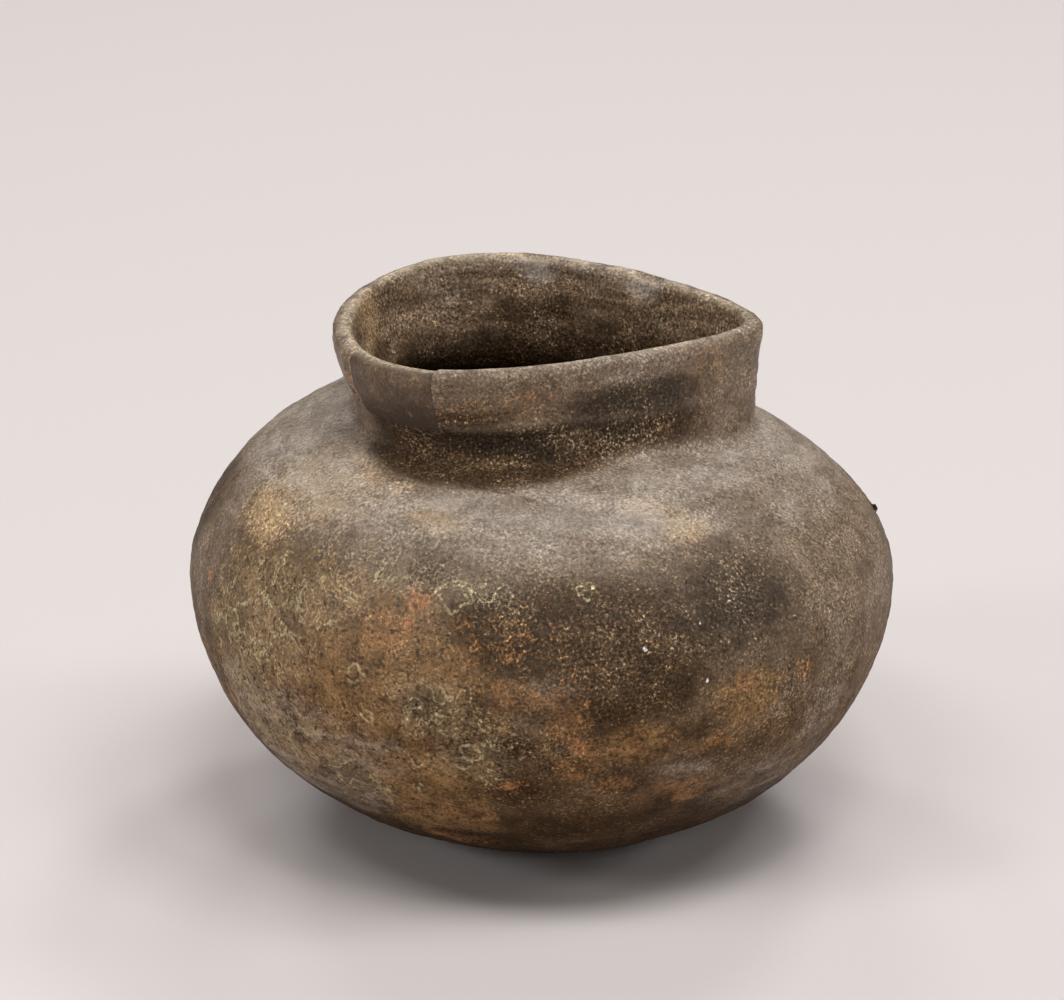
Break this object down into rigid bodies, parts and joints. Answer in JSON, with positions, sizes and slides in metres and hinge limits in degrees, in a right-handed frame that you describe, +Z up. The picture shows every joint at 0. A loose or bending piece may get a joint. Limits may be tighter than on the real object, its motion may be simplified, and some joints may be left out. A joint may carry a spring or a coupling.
{
  "type": "clay pot",
  "caption": "Squat globular hand-built earthenware cooking pot with a short neck, an egg-shaped squeezed mouth, a restored stretch of rim and a small flat foot.",
  "frame": {"origin": "centre of the flat foot, on the surface that the pot stands on", "axes": "+Z up through the mouth, +X towards the narrow end of the mouth, -Y towards the side that the picture shows"},
  "size_m": [0.179, 0.179, 0.1373],
  "materials": {
    "fired_clay": "matte",
    "rim_clay": "matte",
    "restoration_fill": "matte"
  },
  "bodies": {
    "root": {"base_pat": "fired_clay", "belly_coil_1": "fired_clay", "belly_coil_2": "fired_clay", "belly_coil_3": "fired_clay", "belly_coil_4": "fired_clay", "shoulder_coil_1": "fired_clay", "shoulder_coil_2": "fired_clay", "shoulder_coil_3": "fired_clay", "shoulder_coil_4": "fired_clay", "neck_band": "rim_clay", "rim_band": "rim_clay", "rim_fill": "restoration_fill"}
  },
  "joints": []
}
